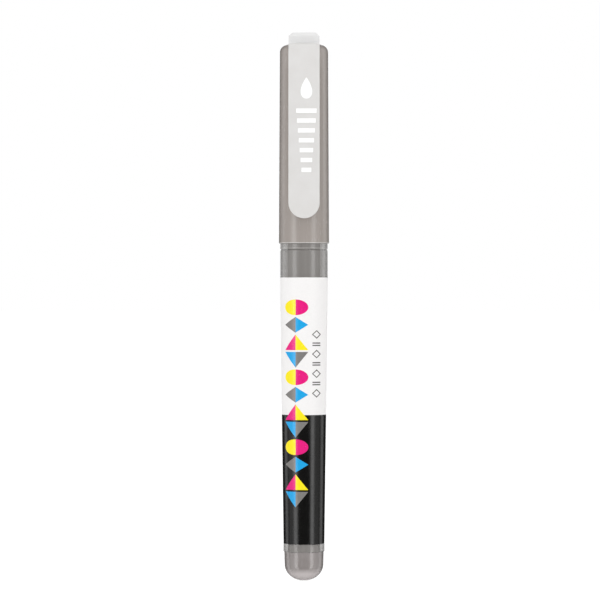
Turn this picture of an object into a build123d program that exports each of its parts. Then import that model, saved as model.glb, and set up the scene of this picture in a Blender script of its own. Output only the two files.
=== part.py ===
"""Felt tip brush marker with a free-ink tank, a pull-off cap and a pocket clip.

Frame, in millimetres: +Z runs along the barrel from the tail to the cap, the origin is the
centre of the small flat on the end of the tail, and the clip is on the -Y side.
"""

from build123d import *
import math
import os

# ---------------------------------------------------------------- heights along the pen
BARREL_TAIL_Z = 7.4  # seam between the tail plug and the barrel
LABEL_LOW_Z = 9.5
LABEL_HIGH_Z = 77.5  # above it the barrel is bare and cylindrical
SEAM_Z = 84.6  # seam between the barrel and the front section
LIP_Z = 86.2  # the cap's lip rests here, on the front section's collar
SHOULDER_Z = 135.1  # the cap's round corner starts here
CAP_TOP_Z = 137.7
OVERALL_Z = 140.0  # top of the clip's plug
CLIP_TOP_Z = 137.1
CLIP_END_Z = 92.5
SPIGOT_END_Z = 69.5  # how deep the front section reaches into the barrel
NOSE_Z = 108.5  # front end of the front section
HOLDER_TOP_Z = 110.5
NIB_PIVOT_Z = 112.0
NIB_TIP_Z = 122.5

# ---------------------------------------------------------------- radii and walls
BARREL_R = 6.05
BARREL_TAIL_R = 5.12
TAIL_RIM_R = 5.25  # rim that guards the label's lower edge
BARREL_BORE_R = 5.05
TANK_FRONT_R = 4.9
TAIL_BORE_R = 4.15
LABEL_THICK = 0.08
TAIL_R = 5.03
DOME_R = 4.95
DOME_Z = 4.2
TAIL_FLAT_R = 1.0
CAP_LIP_R = 6.41
CAP_SHOULDER_R = 6.17
CAP_CORNER_R = 1.9
CAP_WALL = 0.81
NECK_R = 4.93
SEAL_R = 4.2
CHAMBER_R = 4.2  # room for the ink regulator inside the front section
ROD_R = 1.0
ROD_HOLE_R = 1.02
HOLDER_R = 2.3
NIB_R = 1.7
BALL_R = 1.6
EDGE = 0.2  # usual small chamfer

# ---------------------------------------------------------------- inner cap
LINER_LOW_Z = 86.6
LINER_STEP_Z = 98.0
LINER_CEILING_Z = 131.0
LINER_SKIRT_R = 5.0
LINER_BORE_R = 4.25
LINER_WALL = 0.7
LINER_RIBS = 6

# ---------------------------------------------------------------- ink regulator
REGULATOR_LOW_Z = 70.6
REGULATOR_HIGH_Z = 96.8
REGULATOR_CORE_R = 2.0
FIN_R = 4.12
FIN_THICK = 0.45
FIN_PITCH = 0.95

# ---------------------------------------------------------------- clip
CLIP_WIDTH = 7.95
CLIP_INNER_Y = -7.4
CLIP_OUTER_Y = -8.7
CLIP_SPLIT_Y = -5.2  # the plane where the springy clip leaves its plug
CLIP_GAP = 0.12  # clearance of the springy clip from the plug and the cap
CLIP_SKIRT_Z = 135.7  # underside of the clip's root and of the plug's foot
CLIP_EDGE_DROP = 0.5  # how far the clip's crown falls from its middle to its edges
FOOT_BACK_Y = -3.6  # the plug's foot and the clip's root sit in a notch of the cap up to here
PLUG_FRONT_Y = -4.0
PLUG_BACK_Y = 3.6
PAD_R = 0.93
PAD_Z = 95.6


def turned(*points):
    """A solid turned about Z from a closed outline of (radius, height) points."""
    outline = make_face(Plane.XZ * Polyline(*points, close=True))
    return revolve(outline, Axis.Z, 360)


def rod(radius, low, high):
    """A plain cylinder on the pen's axis."""
    return Pos(0, 0, low) * Cylinder(radius, high - low, align=(Align.CENTER, Align.CENTER, Align.MIN))


def ring_groove(radius, depth, width, height):
    """The ring of material that a shallow groove of this depth removes at this height."""
    low, high = height - width / 2, height + width / 2
    return rod(radius + 1, low, high) - rod(radius - depth, low, high)


def block(x, y, z):
    """A box from three (low, high) pairs."""
    size = [high - low for low, high in (x, y, z)]
    return Pos(x[0], y[0], z[0]) * Box(*size, align=(Align.MIN, Align.MIN, Align.MIN))


def barrel_outer_r(z):
    """Outer radius of the barrel, which tapers below the top of the label."""
    share = min(1.0, (z - BARREL_TAIL_Z) / (LABEL_HIGH_Z - BARREL_TAIL_Z))
    return BARREL_TAIL_R + (BARREL_R - BARREL_TAIL_R) * share


def cap_outer_r(z):
    """Outer radius of the cap's side, widest at the lip."""
    return CAP_LIP_R + (CAP_SHOULDER_R - CAP_LIP_R) * (z - LIP_Z) / (SHOULDER_Z - LIP_Z)


def cap_inner_r(z):
    return cap_outer_r(z) - CAP_WALL


def cap_form(grow):
    """The cap's outer form as one solid, grown or shrunk by an even amount all over."""
    corner_x = CAP_SHOULDER_R - CAP_CORNER_R
    rise = CAP_TOP_Z - SHOULDER_Z
    dome_r = (corner_x**2 + rise**2 - CAP_CORNER_R**2) / (2 * (rise - CAP_CORNER_R))
    dome_z = CAP_TOP_Z - dome_r
    meet = math.degrees(math.atan2(SHOULDER_Z - dome_z, corner_x))  # where the two arcs touch
    corner = CenterArc((corner_x, SHOULDER_Z), CAP_CORNER_R + grow, 0, meet)
    dome = CenterArc((0, dome_z), dome_r + grow, meet, 90 - meet)
    side = Polyline(dome @ 1, (0, LIP_Z), (CAP_LIP_R + grow, LIP_Z), corner @ 0)
    return revolve(Plane.XZ * make_face(corner + dome + side), Axis.Z, 360)


# ================================================================ barrel group
def barrel():
    """Tapered tank tube, open at both ends, with a rim below the label."""
    tail_bore_z = 13.6
    return turned(
        (TAIL_BORE_R, BARREL_TAIL_Z),
        (TAIL_RIM_R - 0.1, BARREL_TAIL_Z),
        (TAIL_RIM_R, BARREL_TAIL_Z + 0.1),
        (TAIL_RIM_R, LABEL_LOW_Z - 0.1),
        (barrel_outer_r(LABEL_LOW_Z), LABEL_LOW_Z),
        (BARREL_R, LABEL_HIGH_Z),
        (BARREL_R, SEAM_Z - EDGE),
        (BARREL_R - EDGE, SEAM_Z),
        (BARREL_BORE_R, SEAM_Z),
        (BARREL_BORE_R, SPIGOT_END_Z),
        (TANK_FRONT_R, SPIGOT_END_Z),
        (TAIL_BORE_R, tail_bore_z),
    )


def printed_label():
    """Printed film around the barrel's taper."""
    low, high = barrel_outer_r(LABEL_LOW_Z), BARREL_R
    return turned(
        (low, LABEL_LOW_Z),
        (low + LABEL_THICK, LABEL_LOW_Z),
        (high + LABEL_THICK, LABEL_HIGH_Z),
        (high, LABEL_HIGH_Z),
    )


def tail_plug():
    """Domed end plug, pressed into the barrel and hollow towards the tank."""
    spigot_z = 13.4
    lead = 0.3
    height = DOME_Z / math.sqrt(1 - (TAIL_FLAT_R / DOME_R) ** 2)
    flat_angle = math.degrees(math.acos(TAIL_FLAT_R / DOME_R))
    dome = EllipticalCenterArc((0, DOME_Z), DOME_R, height, -flat_angle, arc_size=flat_angle)
    side = Polyline(
        dome @ 1,
        (TAIL_R, BARREL_TAIL_Z),
        (TAIL_BORE_R, BARREL_TAIL_Z),
        (TAIL_BORE_R, spigot_z - lead),
        (TAIL_BORE_R - lead, spigot_z),
        (0, spigot_z),
        (0, 0),
        dome @ 0,
    )
    shape = revolve(Plane.XZ * make_face(dome + side), Axis.Z, 360)

    cavity_r, cavity_z = 3.2, 5.6
    shape -= rod(cavity_r, cavity_z, spigot_z) + Pos(0, 0, cavity_z) * Sphere(cavity_r)
    for z in (9.2, 11.2):  # grooves that leave two sealing bands on the spigot
        shape -= ring_groove(TAIL_BORE_R, 0.08, 0.9, z)
    return shape


def front_section():
    """Spigot, collar, capped neck with its snap bead, seal seat and nose, bored for the ink feed."""
    bead_z, bead_r, bead_half = 89.6, 4.97, 0.35
    neck_top_z, seat_top_z = 97.6, 103.2
    holder_flange_r, holder_flange_z = 3.1, 98.2
    shape = turned(
        (CHAMBER_R, SPIGOT_END_Z),
        (BARREL_BORE_R - EDGE, SPIGOT_END_Z),
        (BARREL_BORE_R, SPIGOT_END_Z + 2 * EDGE),
        (BARREL_BORE_R, SEAM_Z),
        (BARREL_R - EDGE, SEAM_Z),
        (BARREL_R, SEAM_Z + EDGE),
        (BARREL_R, LIP_Z - EDGE / 2),
        (BARREL_R - EDGE / 2, LIP_Z),
        (NECK_R, LIP_Z),
        (NECK_R, bead_z - bead_half),
        (bead_r, bead_z - bead_half / 3),
        (bead_r, bead_z + bead_half / 3),
        (NECK_R, bead_z + bead_half),
        (NECK_R, neck_top_z - 2 * EDGE),
        (NECK_R - 2 * EDGE, neck_top_z),
        (SEAL_R, neck_top_z),
        (SEAL_R, seat_top_z),
        (3.05, NOSE_Z - 0.35),
        (2.75, NOSE_Z),
        (HOLDER_R, NOSE_Z),
        (HOLDER_R, holder_flange_z),
        (holder_flange_r, holder_flange_z),
        (holder_flange_r, REGULATOR_HIGH_Z + 0.2),
        (CHAMBER_R, REGULATOR_HIGH_Z + 0.2),
    )
    for z in (71.8, 74.2, 76.6):  # grooves that leave sealing bands on the spigot
        shape -= ring_groove(BARREL_BORE_R, 0.08, 1.0, z)
    for n in range(5):  # finger grooves round the neck
        shape -= ring_groove(NECK_R, 0.22, 0.5, 91.6 + 1.1 * n)
    return shape


def ink_regulator():
    """Comb of thin fins that buffers the ink, with an ink slit and a wider air channel."""
    slit, channel = 0.35, 1.2
    shape = rod(REGULATOR_CORE_R, REGULATOR_LOW_Z, REGULATOR_HIGH_Z)
    count = int((REGULATOR_HIGH_Z - REGULATOR_LOW_Z - FIN_THICK) / FIN_PITCH) + 1
    for n in range(count):
        z = REGULATOR_LOW_Z + n * FIN_PITCH
        shape += rod(FIN_R, z, z + FIN_THICK)
    span = (REGULATOR_LOW_Z - 1, REGULATOR_HIGH_Z + 1)
    shape -= block((-slit / 2, slit / 2), (ROD_R, FIN_R + 1), span)
    shape -= block((-channel / 2, channel / 2), (-FIN_R - 1, -REGULATOR_CORE_R), span)
    shape -= rod(ROD_HOLE_R, *span)
    return shape


def tank_bulkhead():
    """Plug between the tank and the regulator, with a tube for the feed rod and a vent hole."""
    flange_r, flange_z, tube_r, tube_z = 4.8, 68.2, 1.8, 64.0
    shape = turned(
        (ROD_HOLE_R, tube_z),
        (tube_r, tube_z),
        (tube_r, flange_z),
        (flange_r, flange_z),
        (flange_r, SPIGOT_END_Z),
        (CHAMBER_R, SPIGOT_END_Z),
        (CHAMBER_R, REGULATOR_LOW_Z),
        (ROD_HOLE_R, REGULATOR_LOW_Z),
    )
    vent = Pos(0, 3.0, 0) * rod(0.4, flange_z - 1, REGULATOR_LOW_Z + 1)
    return shape - vent


def feed_rod():
    """Fibre rod that draws ink from the tank, through the regulator, to the nib."""
    low, high, point = 62.0, 102.0, 0.6
    return turned(
        (0, low),
        (ROD_R - 0.2, low),
        (ROD_R, low + 0.2),
        (ROD_R, high - point),
        (ROD_R - 0.5, high),
        (0, high),
    )


def nib_holder():
    """Tubular insert that carries the nib in the nose, with air grooves along its outside."""
    low, flange_z, flange_r, ledge_z = REGULATOR_HIGH_Z + 0.25, 98.2, 3.1, 99.0
    shape = turned(
        (ROD_HOLE_R, low),
        (flange_r, low),
        (flange_r, flange_z),
        (HOLDER_R, flange_z),
        (HOLDER_R, HOLDER_TOP_Z - 0.5),
        (HOLDER_R - 0.3, HOLDER_TOP_Z),
        (NIB_R, HOLDER_TOP_Z),
        (NIB_R, ledge_z),
        (ROD_HOLE_R, ledge_z),
    )
    groove = block((-0.2, 0.2), (HOLDER_R - 0.25, flange_r + 1), (low - 1, HOLDER_TOP_Z - 1.2))
    for angle in (0, 90, 180, 270):
        shape -= Rot(0, 0, angle) * groove
    return shape


def nib_shank():
    """The part of the brush nib that is held in the holder."""
    low, high, socket_z = 99.0, 110.35, 102.1
    return rod(NIB_R, low, high) - rod(ROD_HOLE_R, low - 1, socket_z)


def brush_tip():
    """The free part of the brush nib: a round base about its bending point, a belly and a point."""
    ball_r, belly_r, belly_z, point_r = 1.5, 1.85, 114.2, 0.28
    base = CenterArc((0, NIB_PIVOT_Z), ball_r, -90, 90)
    belly = Spline(
        base @ 1,
        (belly_r, belly_z),
        (1.25, 118.6),
        (point_r, NIB_TIP_Z - 0.15),
        tangents=((0.1, 1), (-0.16, 1)),
    )
    end = Polyline(belly @ 1, (0, NIB_TIP_Z), base @ 0)
    return revolve(Plane.XZ * make_face(base + belly + end), Axis.Z, 360)


def mixing_ball():
    """Steel ball that stirs the ink; it lies in the tail plug's hollow."""
    rest_z = 2.4 + BALL_R + 0.05
    return Pos(0, 0, rest_z) * Sphere(BALL_R)


# ================================================================ cap group
def root_room(grow):
    """Where the clip's root crosses the cap's corner, grown by an even amount."""
    half = CLIP_WIDTH / 2 + grow
    return block((-half, half), (-9, FOOT_BACK_Y + grow), (CLIP_SKIRT_Z - grow, CAP_TOP_Z + 1))


def cap_shell():
    """Outer sleeve of the cap, with a domed top, a slot for the clip's plug and a notch for its root."""
    shape = cap_form(0) - cap_form(-CAP_WALL)
    slot = block((-2.15, 2.15), (-1.9, 1.5), (SHOULDER_Z, CAP_TOP_Z + 1))
    lip_edge = shape.edges().group_by(Axis.Z)[0].sort_by(SortBy.RADIUS)[-1]
    return chamfer(lip_edge, 0.12) - slot - root_room(CLIP_GAP)


def inner_cap():
    """Liner that seals on the nose and lines the cap, centred in the shell by ribs."""
    groove_z, groove_r, groove_half = 89.6, 5.1, 0.6
    skirt_gap = 0.02
    step_out_z = LINER_STEP_Z + 0.6
    tube_r = LINER_BORE_R + LINER_WALL
    top_z = LINER_CEILING_Z + LINER_WALL
    shape = turned(
        (LINER_SKIRT_R, LINER_LOW_Z),
        (cap_inner_r(LINER_LOW_Z) - skirt_gap, LINER_LOW_Z),
        (cap_inner_r(LINER_STEP_Z) - skirt_gap, LINER_STEP_Z),
        (tube_r, step_out_z),
        (tube_r, top_z - 0.8),
        (tube_r - 0.8, top_z),
        (0, top_z),
        (0, LINER_CEILING_Z),
        (LINER_BORE_R - 0.5, LINER_CEILING_Z),
        (LINER_BORE_R, LINER_CEILING_Z - 0.5),
        (LINER_BORE_R, LINER_STEP_Z + 0.4),
        (LINER_SKIRT_R, LINER_STEP_Z - 0.2),
        (LINER_SKIRT_R, groove_z + groove_half),
        (groove_r, groove_z + groove_half / 3),
        (groove_r, groove_z - groove_half / 3),
        (LINER_SKIRT_R, groove_z - groove_half),
    )
    low, high = step_out_z + 1, top_z - 2
    rib_r = cap_inner_r(high) - 0.05
    rib = block((-0.3, 0.3), (tube_r - 0.2, rib_r), (low, high))
    for n in range(LINER_RIBS):
        shape += Rot(0, 0, 360 / LINER_RIBS * n) * rib
    return shape


def clip_side():
    """The clip and its plug seen from the side, as one plate across the cap's width."""
    bevel, edge_gap, fillet_r, bend_r = 0.9, 0.7, 0.5, 1.6
    below = CLIP_END_Z - 1  # the clip's round end is cut by its front view
    plug_front = Line((PLUG_FRONT_Y, OVERALL_Z - bevel), (PLUG_FRONT_Y, CLIP_TOP_Z + fillet_r))
    fillet_up = RadiusArc(plug_front @ 1, (PLUG_FRONT_Y - fillet_r, CLIP_TOP_Z), fillet_r)
    brow = Line(fillet_up @ 1, (CLIP_OUTER_Y + bend_r, CLIP_TOP_Z))
    bend = RadiusArc(brow @ 1, (CLIP_OUTER_Y, CLIP_TOP_Z - bend_r), -bend_r)
    arm = Polyline(
        bend @ 1,
        (CLIP_OUTER_Y, below),
        (CLIP_INNER_Y - 0.5, below),
        (CLIP_INNER_Y, CLIP_END_Z + 1.6),
        (CLIP_INNER_Y, CLIP_SKIRT_Z - edge_gap),
    )
    inner = RadiusArc(arm @ 1, (CLIP_INNER_Y + edge_gap, CLIP_SKIRT_Z), edge_gap)
    plug = Polyline(
        inner @ 1,
        (PLUG_BACK_Y, CLIP_SKIRT_Z),
        (PLUG_BACK_Y, OVERALL_Z - bevel),
        (PLUG_BACK_Y - bevel, OVERALL_Z),
        (PLUG_FRONT_Y + bevel, OVERALL_Z),
        plug_front @ 0,
    )
    plate = make_face(plug_front + fillet_up + brow + bend + arm + inner + plug)
    return extrude(Plane.YZ * plate, CLIP_WIDTH / 2, both=True)


def plug_front_view():
    """The plug's outline seen from the front, bevelled at its top corners."""
    half, bevel = CLIP_WIDTH / 2, 1.0
    outline = Polyline(
        (-half, CLIP_SKIRT_Z),
        (half, CLIP_SKIRT_Z),
        (half, OVERALL_Z - bevel),
        (half - bevel, OVERALL_Z),
        (-half + bevel, OVERALL_Z),
        (-half, OVERALL_Z - bevel),
        close=True,
    )
    return extrude(Plane.XZ * make_face(outline), 10, both=True)


def clip_front_view():
    """The clip's outline seen from the front: round lower end, crowned top."""
    half = CLIP_WIDTH / 2
    edge_z = CLIP_TOP_Z - CLIP_EDGE_DROP
    tip = CenterArc((0, CLIP_END_Z + half), half, 180, 180)
    right = Line(tip @ 1, (half, edge_z))
    crown = ThreePointArc(right @ 1, (0, CLIP_TOP_Z), (-half, edge_z))
    left = Line(crown @ 1, tip @ 0)
    return extrude(Plane.XZ * make_face(tip + right + crown + left), 10, both=True)


def clip_plug():
    """Block on top of the cap that the clip grows from, with a foot in the cap's notch and a snap stem."""
    fit_gap = 0.05
    behind_clip = block((-9, 9), (CLIP_SPLIT_Y + CLIP_GAP, 9), (CLIP_SKIRT_Z, OVERALL_Z))
    shape = clip_side() & plug_front_view() & behind_clip
    corners = shape.edges().filter_by(Axis.Z).group_by(Axis.Y)[-1]
    shape = fillet(corners, 0.6) - (cap_form(fit_gap) - root_room(0))
    shape += block((-2.1, 2.1), (-1.85, 1.45), (CAP_TOP_Z - 2, CAP_TOP_Z + 0.3))
    shape += block((-2.6, 2.6), (-2.35, 1.95), (CAP_TOP_Z - 2.7, CAP_TOP_Z - 1.5))
    return shape


def clip():
    """Springy clip arm with a round pad inside its free end."""
    ahead_of_plug = block((-9, 9), (-12, CLIP_SPLIT_Y), (CLIP_END_Z - 2, OVERALL_Z))
    shape = clip_side() & clip_front_view() & ahead_of_plug
    front = shape.faces().sort_by(Axis.Y)[0]
    rim = front.edges().filter_by(lambda edge: edge.center().Z < SHOULDER_Z)
    shape = fillet(rim, 0.25)
    pad = Pos(0, CLIP_INNER_Y, PAD_Z) * Rot(0, 90, 0) * Cylinder(PAD_R, 4.6)
    return shape + pad


PARTS = {
    "barrel": barrel,
    "printed_label": printed_label,
    "tail_plug": tail_plug,
    "front_section": front_section,
    "ink_regulator": ink_regulator,
    "tank_bulkhead": tank_bulkhead,
    "feed_rod": feed_rod,
    "nib_holder": nib_holder,
    "nib_shank": nib_shank,
    "brush_tip": brush_tip,
    "mixing_ball": mixing_ball,
    "cap_shell": cap_shell,
    "inner_cap": inner_cap,
    "clip_plug": clip_plug,
    "clip": clip,
}

os.makedirs("parts", exist_ok=True)
for name, make in PARTS.items():
    export_step(make(), f"parts/{name}.step")
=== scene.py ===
import math

import bmesh
import bpy
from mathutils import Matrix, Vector, noise


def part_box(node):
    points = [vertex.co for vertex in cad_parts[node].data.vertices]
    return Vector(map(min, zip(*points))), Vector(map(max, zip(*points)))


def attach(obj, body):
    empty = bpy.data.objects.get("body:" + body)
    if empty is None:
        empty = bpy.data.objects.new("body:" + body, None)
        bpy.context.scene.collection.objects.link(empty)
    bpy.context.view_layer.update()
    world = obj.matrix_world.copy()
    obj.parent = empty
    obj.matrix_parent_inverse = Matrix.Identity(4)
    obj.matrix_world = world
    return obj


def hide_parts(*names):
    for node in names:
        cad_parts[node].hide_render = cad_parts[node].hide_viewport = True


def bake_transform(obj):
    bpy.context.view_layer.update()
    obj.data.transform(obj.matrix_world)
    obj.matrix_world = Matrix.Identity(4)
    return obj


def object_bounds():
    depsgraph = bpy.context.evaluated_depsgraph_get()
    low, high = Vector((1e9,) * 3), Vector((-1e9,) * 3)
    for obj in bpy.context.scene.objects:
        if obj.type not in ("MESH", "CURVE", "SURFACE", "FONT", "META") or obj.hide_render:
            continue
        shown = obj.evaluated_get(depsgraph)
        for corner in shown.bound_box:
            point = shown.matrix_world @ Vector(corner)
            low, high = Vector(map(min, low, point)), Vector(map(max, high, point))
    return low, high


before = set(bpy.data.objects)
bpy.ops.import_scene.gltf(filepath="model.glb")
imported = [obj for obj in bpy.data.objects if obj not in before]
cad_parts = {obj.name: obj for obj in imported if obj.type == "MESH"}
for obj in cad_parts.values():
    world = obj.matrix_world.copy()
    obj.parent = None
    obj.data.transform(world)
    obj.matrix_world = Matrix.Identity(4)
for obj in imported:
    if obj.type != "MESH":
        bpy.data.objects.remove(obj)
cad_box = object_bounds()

MM = 0.001
PEN_LOW, PEN_HIGH = cad_box
PEN_LENGTH = PEN_HIGH.z - PEN_LOW.z
PEN_MIDDLE = Vector((0, 0, PEN_LENGTH / 2))


# ================================================================ node helpers
class Look:
    """A procedural material built round one Principled shader, in the object's own coordinates."""

    def __init__(self, name, color, roughness, **sockets):
        self.material = bpy.data.materials.new(name)
        self.material.use_nodes = True
        self.tree = self.material.node_tree
        self.shader = self.tree.nodes["Principled BSDF"]
        self.shader.inputs["Base Color"].default_value = (*color, 1)
        self.shader.inputs["Roughness"].default_value = roughness
        for socket, value in sockets.items():
            self.shader.inputs[socket.replace("_", " ")].default_value = value
        self.place = self.add("ShaderNodeTexCoord").outputs["Object"]

    def add(self, kind, **settings):
        node = self.tree.nodes.new(kind)
        for setting, value in settings.items():
            setattr(node, setting, value)
        return node

    def join(self, source, socket):
        self.tree.links.new(source, socket)

    def noise(self, scale, detail=3, stretch=(1, 1, 1)):
        """A noise pattern: scale in features per millimetre, which stretch multiplies along each axis."""
        mapping = self.add("ShaderNodeMapping")
        mapping.inputs["Scale"].default_value = stretch
        self.join(self.place, mapping.inputs["Vector"])
        texture = self.add("ShaderNodeTexNoise")
        texture.inputs["Scale"].default_value = scale / MM
        texture.inputs["Detail"].default_value = detail
        texture.inputs["Roughness"].default_value = 0.55
        self.join(mapping.outputs["Vector"], texture.inputs["Vector"])
        return texture.outputs["Fac"]

    def spread(self, source, low, high, start=0.3, end=0.7):
        """Maps a source from start..end to low..high, without going past either."""
        node = self.add("ShaderNodeMapRange")
        for name, value in (("From Min", start), ("From Max", end), ("To Min", low), ("To Max", high)):
            node.inputs[name].default_value = value
        self.join(source, node.inputs["Value"])
        return node.outputs["Result"]

    def height(self):
        """Height along the pen, in metres."""
        split = self.add("ShaderNodeSeparateXYZ")
        self.join(self.place, split.inputs["Vector"])
        return split.outputs["Z"]

    def ring(self, middle, half):
        """1 where the height along the pen is within half of middle, and 0 elsewhere."""
        node = self.add("ShaderNodeMath", operation="COMPARE")
        node.inputs[1].default_value = middle
        node.inputs[2].default_value = half
        self.join(self.height(), node.inputs[0])
        return node.outputs["Value"]

    def outward(self, centre):
        """1 on surfaces that face away from a centre and 0 on those that face it."""
        arm = self.add("ShaderNodeVectorMath", operation="SUBTRACT")
        arm.inputs[1].default_value = centre
        self.join(self.place, arm.inputs[0])
        geometry = self.add("ShaderNodeNewGeometry")
        along = self.add("ShaderNodeVectorMath", operation="DOT_PRODUCT")
        self.join(arm.outputs["Vector"], along.inputs[0])
        self.join(geometry.outputs["Normal"], along.inputs[1])
        away = self.add("ShaderNodeMath", operation="GREATER_THAN")
        away.inputs[1].default_value = 0
        self.join(along.outputs["Value"], away.inputs[0])
        # a face seen from behind has its normal turned round, so it counts the other way
        turned = self.add("ShaderNodeMath", operation="COMPARE")
        turned.inputs[2].default_value = 0.5
        self.join(away.outputs["Value"], turned.inputs[0])
        self.join(geometry.outputs["Backfacing"], turned.inputs[1])
        return self.spread(turned.outputs["Value"], 1, 0)

    def mix(self, factor, first, second):
        """Blends two colours, or two numbers, by a factor: the node has its own sockets for each."""
        kind, inputs, output = ("FLOAT", (2, 3), 0) if isinstance(first, float) else ("RGBA", (6, 7), 2)
        node = self.add("ShaderNodeMix", data_type=kind)
        self.join(factor, node.inputs[0])
        for value, number in zip((first, second), inputs):
            if isinstance(value, bpy.types.NodeSocket):
                self.join(value, node.inputs[number])
            else:
                node.inputs[number].default_value = value if kind == "FLOAT" else (*value, 1)
        return node.outputs[output]

    def color(self, source):
        self.join(source, self.shader.inputs["Base Color"])

    def recolor(self, factor, other):
        """Blends another colour over the one that the shader has."""
        socket = self.shader.inputs["Base Color"]
        self.color(self.mix(factor, socket.links[0].from_socket, other))

    def alpha(self, source):
        self.join(source, self.shader.inputs["Alpha"])

    def roughness(self, source, low, high):
        self.join(self.spread(source, low, high), self.shader.inputs["Roughness"])

    def bump(self, source, depth):
        """Raises the surface by up to this many millimetres, in shading only."""
        node = self.add("ShaderNodeBump")
        node.inputs["Strength"].default_value = 1
        node.inputs["Distance"].default_value = depth * MM
        self.join(source, node.inputs["Height"])
        self.join(node.outputs["Normal"], self.shader.inputs["Normal"])


def gray(value, warmth=0.0, rose=0.0):
    """A grey of this brightness, tilted towards warm and towards rose by small shares."""
    return (value * (1 + warmth + rose), value, value * (1 - warmth + rose))


# ================================================================ materials
ALONG = (1, 1, 0.03)  # draws a pattern out into streaks along the pen
CLEAR = 0.08  # how much the inner side of a see-through wall hides
PAINTED_EDGE_HIGHLIGHT = gray(0.8, 0.04)  # colour of the painted highlight on thin edges, where light gathers


def middle_of(node):
    low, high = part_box(node)
    return (0, 0, (low.z + high.z) / 2)


def smoky_look(node, light, dark, alpha, gloss, ior=1.8):
    """Tinted see-through plastic with flow streaks and faint long scuffs, tinted on its outside.

    The coat's tint stands in for the light that the wall swallows, which is more at its sides.
    """
    look = Look(f"{node}_smoke", light, gloss, IOR=ior, Coat_Weight=1, Coat_IOR=1.2, Coat_Roughness=gloss)
    look.shader.inputs["Coat Tint"].default_value = (*gray(0.78), 1)
    streaks = look.noise(0.5, detail=2, stretch=ALONG)
    look.color(look.mix(look.spread(streaks, 0, 1), dark, light))
    scuffs = look.noise(2.5, detail=2, stretch=(1, 1, 0.15))
    look.roughness(scuffs, gloss, gloss + 0.04)
    look.bump(look.noise(1.2, detail=1, stretch=ALONG), 0.001)
    look.alpha(look.mix(look.outward(middle_of(node)), CLEAR, alpha))
    return look


def front_smoke(light, dark, wet, alpha, gloss):
    """The front section: clear inside the barrel, a painted highlight line above the seam, its bore stained
    by ink.
    """
    look = smoky_look("front_section", light, dark, alpha, gloss)
    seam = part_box("barrel")[1].z
    outside = look.outward(middle_of("front_section"))
    bare = look.spread(look.height(), CLEAR, alpha, start=seam - 0.02 * MM, end=seam + 0.02 * MM)
    look.alpha(look.mix(outside, 0.95, bare))
    stains = look.noise(0.4, detail=3, stretch=(1, 1, 0.2))
    # paints a pale highlight line just above the seam
    look.recolor(look.ring(seam + 0.4 * MM, 0.06 * MM), PAINTED_EDGE_HIGHLIGHT)
    inside = look.spread(outside, 1, 0, start=0, end=1)
    look.recolor(inside, look.mix(look.spread(stains, 0, 1), wet, light))
    return look.material


def cap_smoke(light, dark, alpha, gloss):
    """The cap, with a painted highlight along its lip's thin edge."""
    look = smoky_look("cap_shell", light, dark, alpha, gloss, ior=1.66)
    # paints a highlight in a thin ring just above the lip's lower edge
    look.recolor(look.ring(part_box("cap_shell")[0].z + 0.12 * MM, 0.13 * MM), PAINTED_EDGE_HIGHLIGHT)
    return look.material


def tail_smoke(light, dark, painted_end_light, alpha, gloss):
    """The same plastic on the tail plug, with painted light in its solid end."""
    look = smoky_look("tail_plug", light, dark, alpha, gloss)
    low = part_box("tail_plug")[0].z
    # paints the solid end paler towards the bottom: painted light, not the plastic's own colour
    end = look.spread(look.height(), 1, 0, start=low + 1.9 * MM, end=low + 3.3 * MM)
    look.recolor(end, painted_end_light)
    return look.material


def moulded_plastic(name, light, dark, gloss):
    """Opaque moulded plastic: clouded colour, fine grain and rubbed patches."""
    look = Look(name, light, gloss, IOR=1.47)
    look.color(look.mix(look.spread(look.noise(0.25, detail=4), 0, 1), dark, light))
    look.roughness(look.noise(0.6, detail=4), gloss, gloss + 0.12)
    look.bump(look.noise(9, detail=2), 0.004)
    return look.material


def film(name, light, dark, gloss, sheen=0.0):
    """Printed film: slightly mottled ink with an uneven gloss and tiny ripples."""
    look = Look(name, light, gloss, IOR=1.52, Sheen_Weight=sheen)
    look.color(look.mix(look.spread(look.noise(2.5, detail=5), 0, 1), dark, light))
    look.roughness(look.noise(0.8, detail=3), gloss, gloss + 0.08)
    look.bump(look.noise(0.7, detail=2), 0.0008)
    return look.material


def fibre(name, wet, dry):
    """Bonded fibres running along the pen, darker where the ink gathers."""
    look = Look(name, dry, 0.6, Sheen_Weight=0.25, Sheen_Roughness=0.4)
    strands = look.noise(6, detail=3, stretch=(1, 1, 0.06))
    clouds = look.noise(0.5, detail=2, stretch=(1, 1, 0.4))
    shade = look.mix(look.spread(strands, 0, 1), wet, dry)
    look.color(look.mix(look.spread(clouds, 0, 0.5), shade, wet))
    look.roughness(strands, 0.5, 0.8)
    look.bump(strands, 0.03)
    return look.material


def steel(name):
    """Polished steel with a faint cloud in its colour and fine scuffs."""
    look = Look(name, (0.56, 0.56, 0.57), 0.12, Metallic=1)
    look.color(look.mix(look.spread(look.noise(2, detail=4), 0, 1), (0.42, 0.42, 0.43), (0.62, 0.62, 0.63)))
    look.roughness(look.noise(12, detail=2), 0.08, 0.22)
    look.bump(look.noise(15, detail=2), 0.002)
    return look.material


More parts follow.
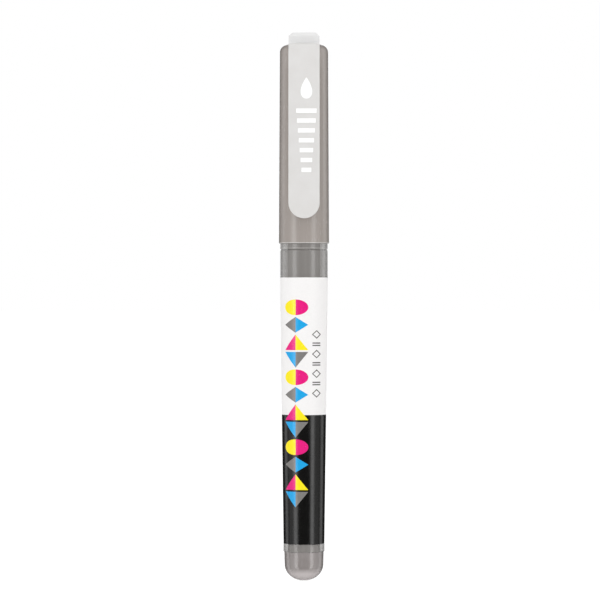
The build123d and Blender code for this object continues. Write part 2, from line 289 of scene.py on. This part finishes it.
CAP_SMOKE = cap_smoke(gray(0.48, 0.10, 0.02), gray(0.44, 0.10, 0.02), 0.82, gloss=0.24)
BARREL_SMOKE = smoky_look("barrel", gray(0.40, 0.05), gray(0.36, 0.05), 0.6, gloss=0.12).material
FRONT_SMOKE = front_smoke(gray(0.40, 0.05), gray(0.36, 0.05), gray(0.29, 0.08), 0.6, gloss=0.12)
# the third colour is painted light for the plug's solid end
TAIL_SMOKE = tail_smoke(
    gray(0.38, 0.07, 0.04), gray(0.33, 0.07, 0.04), gray(0.7, 0.05, 0.04), 0.84, gloss=0.16)
LINER = moulded_plastic("liner_plastic", gray(0.34, 0.02), gray(0.29, 0.02), 0.4)
OFF_WHITE = moulded_plastic("white_plastic", gray(0.745, 0.002), gray(0.715, 0.003), 0.28)
CLIP_WHITE = moulded_plastic("clip_plastic", gray(0.65, 0.015), gray(0.615, 0.02), 0.3)
DARK = moulded_plastic("dark_plastic", gray(0.07, 0.05), gray(0.04, 0.05), 0.45)
HOLDER = moulded_plastic("holder_plastic", gray(0.10, 0.05), gray(0.06, 0.05), 0.35)
INKED = fibre("inked_fibre", gray(0.04, 0.03), gray(0.16, 0.03))
STEEL = steel("steel_ball")
WHITE_FILM = film("white_film", gray(0.82, 0.012, 0.005), gray(0.79, 0.012, 0.005), 0.5, sheen=0.6)
BLACK_FILM = film("black_film", gray(0.007, 0.05), gray(0.004, 0.05), 0.2)
INKS = {
    "yellow": film("yellow_ink", (0.96, 0.80, 0.005), (0.90, 0.73, 0.004), 0.2),
    "magenta": film("magenta_ink", (0.80, 0.004, 0.22), (0.72, 0.003, 0.18), 0.2),
    "cyan": film("cyan_ink", (0.006, 0.38, 0.78), (0.005, 0.33, 0.70), 0.2),
    "grey": film("grey_ink", gray(0.205, 0.04), gray(0.18, 0.04), 0.2),
    "dark": film("dark_ink", gray(0.11, 0.04), gray(0.09, 0.04), 0.2),
    "white": film("white_ink", gray(0.95, 0.0), gray(0.91, 0.0), 0.25),
}

NODE_LOOKS = {
    "barrel": BARREL_SMOKE,
    "front_section": FRONT_SMOKE,
    "cap_shell": CAP_SMOKE,
    "inner_cap": LINER,
    "clip": CLIP_WHITE,
    "clip_plug": OFF_WHITE,
    "tail_plug": TAIL_SMOKE,
    "ink_regulator": DARK,
    "tank_bulkhead": DARK,
    "nib_holder": HOLDER,
    "feed_rod": INKED,
    "mixing_ball": STEEL,
}
for node, look in NODE_LOOKS.items():
    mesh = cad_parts[node].data
    mesh.materials.clear()
    mesh.materials.append(look)


# ================================================================ mesh helpers
def add_piece(name, bm, body, slot, *materials):
    """Turns a bmesh into a piece that rides on a body and takes its finish from the given materials; slot
    is not used.
    """
    bmesh.ops.recalc_face_normals(bm, faces=bm.faces)
    mesh = bpy.data.meshes.new(name)
    bm.to_mesh(mesh)
    bm.free()
    for material in materials:
        mesh.materials.append(material)
    mesh.shade_smooth()
    mesh.set_sharp_from_angle(angle=math.radians(35))
    piece = bpy.data.objects.new(name, mesh)
    bpy.context.scene.collection.objects.link(piece)
    if body:
        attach(piece, body)
    return piece


def lathe(profile, segments, radius_at=lambda r, z, angle: r):
    """A closed solid turned from (radius, z) points that start and end on the axis."""
    bm = bmesh.new()
    rings = []
    for r, z in profile:
        if r < 1e-7:
            rings.append([bm.verts.new((0, 0, z))])
            continue
        ring = []
        for n in range(segments):
            angle = 2 * math.pi * n / segments
            here = radius_at(r, z, angle)
            ring.append(bm.verts.new((here * math.sin(angle), -here * math.cos(angle), z)))
        rings.append(ring)
    for low, high in zip(rings, rings[1:]):
        for n in range(segments):
            m = n + 1
            corners = [low[n % len(low)], low[m % len(low)], high[m % len(high)], high[n % len(high)]]
            bm.faces.new(list(dict.fromkeys(corners)))
    return bm


# ================================================================ label film
LABEL_LOW, LABEL_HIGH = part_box("printed_label")
BLACK_SHARE = 0.485  # how much of the label's height is black
BORDER_Z = LABEL_LOW.z + BLACK_SHARE * (LABEL_HIGH.z - LABEL_LOW.z)  # white film above, black below


def label_radii(z_end):
    """Inner and outer radius of the label's film at one of its ends."""
    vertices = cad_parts["printed_label"].data.vertices
    radii = [math.hypot(v.co.x, v.co.y) for v in vertices if abs(v.co.z - z_end) < 0.01 * MM]
    return min(radii), max(radii)


LOW_RADII, HIGH_RADII = label_radii(LABEL_LOW.z), label_radii(LABEL_HIGH.z)


def label_radius(z, side=1):
    """Radius of the film at a height, inside (0) or outside (1)."""
    share = (z - LABEL_LOW.z) / (LABEL_HIGH.z - LABEL_LOW.z)
    return LOW_RADII[side] + (HIGH_RADII[side] - LOW_RADII[side]) * share


def label_film():
    """The film round the barrel, white above and black below, with its overlap at the back."""
    segments = 192
    levels = [LABEL_LOW.z, BORDER_Z, LABEL_HIGH.z]
    lap, lap_rise = math.radians(9), 0.03 * MM
    white, black = 0, 1  # places of the two films in the piece's materials

    def rise(angle):
        return lap_rise if abs(angle - math.pi) < lap / 2 else 0

    bm = bmesh.new()
    rings = {}
    for side in (0, 1):
        for z in levels:
            ring = []
            for n in range(segments):
                angle = 2 * math.pi * n / segments
                r = label_radius(z, side) + side * rise(angle)
                ring.append(bm.verts.new((r * math.sin(angle), -r * math.cos(angle), z)))
            rings[side, z] = ring

    def band(first, second, material):
        for n in range(segments):
            m = (n + 1) % segments
            face = bm.faces.new((first[n], first[m], second[m], second[n]))
            face.material_index = material

    for low, high, material in ((levels[0], levels[1], black), (levels[1], levels[2], white)):
        for side in (0, 1):
            band(rings[side, low], rings[side, high], material)
    band(rings[0, levels[0]], rings[1, levels[0]], black)
    band(rings[0, levels[-1]], rings[1, levels[-1]], white)
    piece = add_piece("label_film", bm, "barrel", "label_print", WHITE_FILM, BLACK_FILM)
    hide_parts("printed_label")


label_film()


# ================================================================ printed shapes
# Shapes are flat outlines in millimetres: x along the surface to the right, z up the pen.
WRAP_STEP = 0.3  # width of the strips that a print is cut into, so that it follows the round label


def bar(x, z, width, height):
    return [(x, z), (x + width, z), (x + width, z + height), (x, z + height)]


def sector(x, z, rx, rz, start, sweep, steps=12):
    """An ellipse about (x, z), or the part of it that an arc and its chord enclose."""
    turns = [math.radians(start + sweep * n / steps) for n in range(steps + 1)]
    arc = [(x + rx * math.cos(t), z + rz * math.sin(t)) for t in turns]
    return arc[:-1] if sweep == 360 else arc


def diamond_frame(x, z, half_width, half_height, stroke):
    """The four strokes of an open diamond."""
    corners = [(half_width, 0), (0, half_height), (-half_width, 0), (0, -half_height)]
    inner = 1 - stroke / min(half_width, half_height)
    strokes = []
    for n in range(4):
        a, b = corners[n], corners[(n + 1) % 4]
        strokes.append([
            (x + a[0], z + a[1]),
            (x + b[0], z + b[1]),
            (x + b[0] * inner, z + b[1] * inner),
            (x + a[0] * inner, z + a[1] * inner),
        ])
    return strokes


def print_shapes(name, outlines, ink, body, slot, place, wrap_step=None):
    """Prints outlines as one thin closed piece: place turns (x, z, height over it) into a point."""
    gap, thickness = 0.002, 0.02
    bm = bmesh.new()
    for outline in outlines:
        bm.faces.new([bm.verts.new((x, 0, z)) for x, z in outline])
    bmesh.ops.remove_doubles(bm, verts=bm.verts, dist=1e-4)
    if wrap_step:
        left = min(v.co.x for v in bm.verts)
        right = max(v.co.x for v in bm.verts)
        for n in range(math.ceil(left / wrap_step), math.floor(right / wrap_step) + 1):
            everything = [*bm.verts, *bm.edges, *bm.faces]
            cut = Vector((n * wrap_step, 0, 0))
            bmesh.ops.bisect_plane(bm, geom=everything, dist=1e-5, plane_co=cut, plane_no=(1, 0, 0))
    top = bmesh.ops.extrude_face_region(bm, geom=bm.faces[:])["geom"]
    raised = {v for v in top if isinstance(v, bmesh.types.BMVert)}
    for v in bm.verts:
        lift = gap + (thickness if v in raised else 0)
        v.co = place(v.co.x * MM, v.co.z * MM, lift * MM)
    return add_piece(name, bm, body, slot, ink)


def on_label(facing):
    """Places a shape on the label, with x = 0 at this angle round the pen from its front."""
    def place(x, z, lift):
        r = label_radius(z) + lift
        angle = facing + x / label_radius(z)
        return Vector((r * math.sin(angle), -r * math.cos(angle), z))

    return place


def on_clip(x, z, lift):
    """Places a shape on the clip's flat front."""
    return Vector((x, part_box("clip")[0].y - lift, z))


TILE_SHAPES = ("round", "diamond", "up", "down")
TILE_INKS = ("yellow", "grey", "magenta", "cyan")
TILE_COUNT = 12
TILE_HEIGHT = 4.0
TILE_GAP = 0.45
TILE_HALF_WIDTH = 3.3
PATTERN_MIDDLE = -2.2
PATTERN_TOP_Z = LABEL_HIGH.z / MM - 5.6


def half_tile(shape, side, z):
    """One half of a tile whose lowest edge is at z: side is -1 for left and 1 for right."""
    x, reach, top = PATTERN_MIDDLE, side * TILE_HALF_WIDTH, z + TILE_HEIGHT
    if shape == "round":
        return sector(x, z + TILE_HEIGHT / 2, TILE_HALF_WIDTH, TILE_HEIGHT / 2, side * -90, 180, 24)
    if shape == "diamond":
        return [(x, z), (x + reach, z + TILE_HEIGHT / 2), (x, top)]
    if shape == "up":
        return [(x, z), (x + reach, z), (x, top)]
    return [(x, z), (x + reach, top), (x, top)]


def pattern_shapes():
    """An even column of two-coloured tiles down the front of the label, sorted by ink."""
    shapes = {}
    for n in range(TILE_COUNT):
        z = PATTERN_TOP_Z - TILE_HEIGHT - n * (TILE_HEIGHT + TILE_GAP)
        for side, step in ((-1, 0), (1, 2)):
            ink = TILE_INKS[(n + step) % len(TILE_INKS)]
            shapes.setdefault(ink, []).append(half_tile(TILE_SHAPES[n % len(TILE_SHAPES)], side, z))
    return shapes


def side_marks():
    """A column of small open diamonds and pairs of dashes beside the pattern."""
    middle, stroke, dash, pitch, count = 3.4, 0.3, 2.4, 2.5, 7
    marks = []
    z = PATTERN_TOP_Z - 8.9
    for n in range(count):
        if n % 2:
            marks.append(bar(middle - dash / 2, z - 1.5 * stroke, dash, stroke))
            marks.append(bar(middle - dash / 2, z + 0.5 * stroke, dash, stroke))
        else:
            marks += diamond_frame(middle, z, 1.35, 1.1, stroke)
        z -= pitch
    return marks


BACK_FACING = math.radians(222)  # clear of the film's overlap, which is at the very back


def back_marks():
    """A grey swatch over four dots, for the back of the label, sorted by ink."""
    width, height, dot_r, pitch = 7, 4.5, 0.65, 1.8
    z = PATTERN_TOP_Z - 14
    shapes = {"grey": [bar(-width / 2, z, width, height)]}
    for n, ink in enumerate(("cyan", "magenta", "yellow", "dark")):
        shapes[ink] = [sector((n - 1.5) * pitch, z - 2.4, dot_r, dot_r, 0, 360, 24)]
    return shapes


def print_on_label(name, outlines, ink, facing=0):
    print_shapes(name, outlines, INKS[ink], "barrel", "label_print", on_label(facing), WRAP_STEP)


for ink, outlines in pattern_shapes().items():
    print_on_label(f"front_print_{ink}", outlines, ink)
print_on_label("side_print", side_marks(), "dark")
for ink, outlines in back_marks().items():
    print_on_label(f"back_print_{ink}", outlines, ink, BACK_FACING)


def clip_marks():
    """A drop over a row of strokes that grow shorter down the clip."""
    clip_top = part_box("clip")[1].z / MM
    thickness, pitch, count = 1.1, 2.5, 7
    x, z = 0.6, clip_top - 11.6
    drop = [(x + 1.9 * math.sin(t) * math.sin(t / 2), z + 2.7 * math.cos(t))
            for t in (math.radians(15 * n) for n in range(24))]
    marks = [drop]
    z -= 5.2
    for n in range(count):
        width = 5.2 - 0.45 * n
        marks.append(bar(x - width / 2, z - thickness, width, thickness))
        z -= pitch
    return marks


print_shapes("clip_print", clip_marks(), INKS["white"], "clip", "white_plastic", on_clip)


# ================================================================ brush nib
def brush_nib():
    """The nib as one bundle of fibres, from the holder's mouth to the point."""
    shank_low, shank_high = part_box("nib_shank")
    tip_low, tip_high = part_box("brush_tip")
    shank_r, belly_r = shank_high.x, tip_high.x
    root_r = shank_r * 0.97
    length = tip_high.z - shank_high.z
    belly_at = 0.3  # share of the free length at which the nib is widest
    ridges, ridge_depth, unevenness = 30, 0.028, 0.02

    def ridged(r, z, angle):
        """Fine grooves between fibres, which fade in past the shank and shrink with the radius."""
        fade = min(1, max(0, (z - shank_high.z) / (2 * MM)))
        wander = noise.noise(Vector((math.cos(angle) * 3, math.sin(angle) * 3, z / MM * 0.25)))
        groove = 0.5 + 0.5 * math.cos(ridges * angle + 3 * wander)
        return r * (1 - fade * (ridge_depth * groove + unevenness * wander))

    profile = [(0, shank_low.z), (shank_r, shank_low.z), (shank_r, shank_high.z)]
    steps = 48
    for n in range(1, steps):
        t = n / steps
        taper = math.sqrt(max(0, 1 - max(0, (t - belly_at) / (1 - belly_at)) ** 1.7))
        swell = root_r + (belly_r - root_r) * math.sin(min(1, t / belly_at) * math.pi / 2)
        slimming = 1 - 0.35 * max(0, t - 0.45)
        profile.append((swell * taper * slimming, shank_high.z + length * t))
    profile.append((0, tip_high.z))
    bm = lathe(profile, 180, ridged)
    nib = add_piece("brush_nib", bm, None, "inked_fibre", INKED)
    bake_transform(nib)
    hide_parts("nib_shank", "brush_tip")


brush_nib()


# ================================================================ floor, lights, camera
def white_world():
    """Plain white behind the object, soft light on it, and dark surroundings in its gloss."""
    world = bpy.data.worlds.new("studio")
    bpy.context.scene.world = world
    world.use_nodes = True
    world.cycles.sampling_method = "NONE"
    tree = world.node_tree
    background = tree.nodes["Background"]
    background.inputs["Color"].default_value = (1, 1, 1, 1)
    path = tree.nodes.new("ShaderNodeLightPath")
    soft = tree.nodes.new("ShaderNodeMapRange")
    soft.inputs["To Min"].default_value = 0.02
    soft.inputs["To Max"].default_value = 0.56
    strength = tree.nodes.new("ShaderNodeMath")
    strength.operation = "MAXIMUM"
    tree.links.new(path.outputs["Is Diffuse Ray"], soft.inputs["Value"])
    tree.links.new(path.outputs["Is Camera Ray"], strength.inputs[0])
    tree.links.new(soft.outputs["Result"], strength.inputs[1])
    tree.links.new(strength.outputs["Value"], background.inputs["Strength"])


def floor():
    """A wide floor that mostly glows, so that it looks white and takes only faint shadows."""
    bm = bmesh.new()
    bmesh.ops.create_grid(bm, x_segments=8, y_segments=8, size=20)
    mesh = bpy.data.meshes.new("floor")
    bm.to_mesh(mesh)
    bm.free()
    look = Look("floor_paint", gray(0.3), 1.0, Specular_IOR_Level=0, Emission_Strength=0.88)
    look.shader.inputs["Emission Color"].default_value = (1, 1, 1, 1)
    look.color(look.mix(look.noise(0.02), gray(0.29), gray(0.31)))
    mesh.materials.append(look.material)
    plane = bpy.data.objects.new("floor", mesh)
    plane.location.z = PEN_LOW.z
    plane.visible_glossy = False
    bpy.context.scene.collection.objects.link(plane)


def soft_light(name, place, width, height, radiance):
    """A soft rectangular light at this place, turned towards the middle of the pen."""
    data = bpy.data.lights.new(name, "AREA")
    data.shape = "RECTANGLE"
    data.size, data.size_y = width, height
    data.energy = radiance * math.pi * width * height
    lamp = bpy.data.objects.new(name, data)
    lamp.location = place
    lamp.rotation_euler = (place - PEN_MIDDLE).to_track_quat("Z", "Y").to_euler()
    lamp.visible_camera = False
    bpy.context.scene.collection.objects.link(lamp)
    return lamp


def strip_light(name, azimuth, width, radiance, shine_only=False):
    """A tall light beside the pen at this azimuth in degrees, 0 being the camera's side."""
    distance, height = 0.6, 0.9
    angle = math.radians(azimuth)
    away = Vector((math.sin(angle), -math.cos(angle), 0))
    lamp = soft_light(name, PEN_MIDDLE + away * distance, width, height, radiance)
    lamp.visible_diffuse = not shine_only


def top_light(radiance):
    """A light over the pen that brightens what faces up and makes no gloss of its own."""
    width, forward, height_above = 0.4, 0.1, 0.5
    place = Vector((0, -forward, PEN_HIGH.z + height_above))
    lamp = soft_light("top_light", place, width, width, radiance)
    lamp.visible_glossy = False


def camera():
    """A long lens, level with the pen, which takes up pen_share of the frame's height."""
    pen_share, rise, drift = 0.9114, 1.76 * MM, -1.02 * MM
    data = bpy.data.cameras.new("camera")
    data.sensor_width, data.lens = 36, 200
    seen = PEN_LENGTH / pen_share
    cam = bpy.data.objects.new("camera", data)
    cam.location = (drift, -seen * data.lens / data.sensor_width, PEN_LENGTH / 2 + rise)
    cam.rotation_euler = (math.pi / 2, 0, 0)
    bpy.context.scene.collection.objects.link(cam)
    bpy.context.scene.camera = cam


white_world()
floor()
strip_light("strip_left", -47, 0.22, 2.8)
strip_light("strip_right", 46, 0.2, 2.8)
strip_light("fill_left", -72, 0.36, 0.55, shine_only=True)
strip_light("fill_right", 72, 0.36, 0.45, shine_only=True)
strip_light("strip_far_left", -110, 0.24, 1.1, shine_only=True)
strip_light("strip_far_right", 110, 0.24, 1.1, shine_only=True)
strip_light("strip_back", 180, 0.2, 1.2)
top_light(2.0)
camera()
bpy.context.scene.view_settings.view_transform = "Standard"
